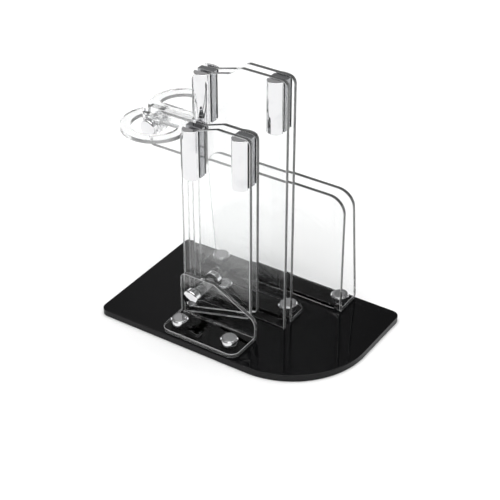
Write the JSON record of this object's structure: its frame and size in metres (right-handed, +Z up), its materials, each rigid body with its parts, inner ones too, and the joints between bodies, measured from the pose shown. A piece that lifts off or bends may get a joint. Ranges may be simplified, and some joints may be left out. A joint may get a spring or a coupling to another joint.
{
  "type": "counter display stand",
  "caption": "Clear two-upright counter display stand with chrome pads, two tilting rings and a rear slot holder on a black base plate.",
  "frame": {"origin": "centre of the base plate's underside", "axes": "+X along the base's long side towards its big round corner, +Y from the front edge to the back edge, +Z up"},
  "size_m": [0.18, 0.11, 0.194],
  "materials": {
    "black_acrylic": "gloss",
    "clear_acrylic": "clear polished",
    "chrome_fittings": "polished chrome"
  },
  "bodies": {
    "stand": {"base_plate": "black_acrylic", "front_bracket": "clear_acrylic", "bracket_thumbscrews": "chrome_fittings", "tall_front_sheet": "clear_acrylic", "tall_rear_sheet": "clear_acrylic", "upright_thumbscrews": "chrome_fittings", "tall_left_front_pad": "chrome_fittings", "tall_left_spacer": "chrome_fittings", "tall_left_rear_pad": "chrome_fittings", "tall_right_front_pad": "chrome_fittings", "tall_right_spacer": "chrome_fittings", "tall_right_rear_pad": "chrome_fittings", "pivot_rod": "chrome_fittings", "pivot_outer_sleeve": "clear_acrylic", "pivot_end_cap": "chrome_fittings", "ring_bar": "clear_acrylic", "ring_clamp_rod": "chrome_fittings", "ring_clamp_end_cap": "chrome_fittings", "holder_channel": "clear_acrylic", "holder_thumbscrews": "chrome_fittings"},
    "small_upright": {"small_front_sheet": "clear_acrylic", "small_rear_sheet": "clear_acrylic", "small_left_front_pad": "chrome_fittings", "small_left_spacer": "chrome_fittings", "small_left_rear_pad": "chrome_fittings", "small_right_front_pad": "chrome_fittings", "small_right_spacer": "chrome_fittings", "small_right_rear_pad": "chrome_fittings", "pivot_inner_sleeve": "clear_acrylic"},
    "front_ring_tilter": {"front_ring": "clear_acrylic"},
    "rear_ring_tilter": {"rear_ring": "clear_acrylic"},
    "pivot_hand_knob": {"pivot_knob": "chrome_fittings"},
    "ring_hand_knob": {"ring_clamp_knob": "chrome_fittings"}
  },
  "joints": [
    {"name": "small_upright_tilt", "type": "hinge", "parent": "stand", "child": "small_upright", "pos_m": [-0.0273, -0.0192, 0.0242], "axis": [0, 1, 0], "range_deg": [0, 20]},
    {"name": "front_ring_tilt", "type": "hinge", "parent": "stand", "child": "front_ring_tilter", "pos_m": [-0.0746, -0.0048, 0.1327], "axis": [0, 1, 0], "range_deg": [-90, 90]},
    {"name": "rear_ring_tilt", "type": "hinge", "parent": "stand", "child": "rear_ring_tilter", "pos_m": [-0.0746, 0.0038, 0.1327], "axis": [0, 1, 0], "range_deg": [-90, 90]},
    {"name": "pivot_knob_turn", "type": "hinge", "parent": "stand", "child": "pivot_hand_knob", "pos_m": [-0.0273, -0.031, 0.0242], "axis": [0, -1, 0], "range_deg": [0, 180]},
    {"name": "ring_knob_turn", "type": "hinge", "parent": "stand", "child": "ring_hand_knob", "pos_m": [-0.0746, -0.0094, 0.1327], "axis": [0, -1, 0], "range_deg": [0, 180]}
  ]
}
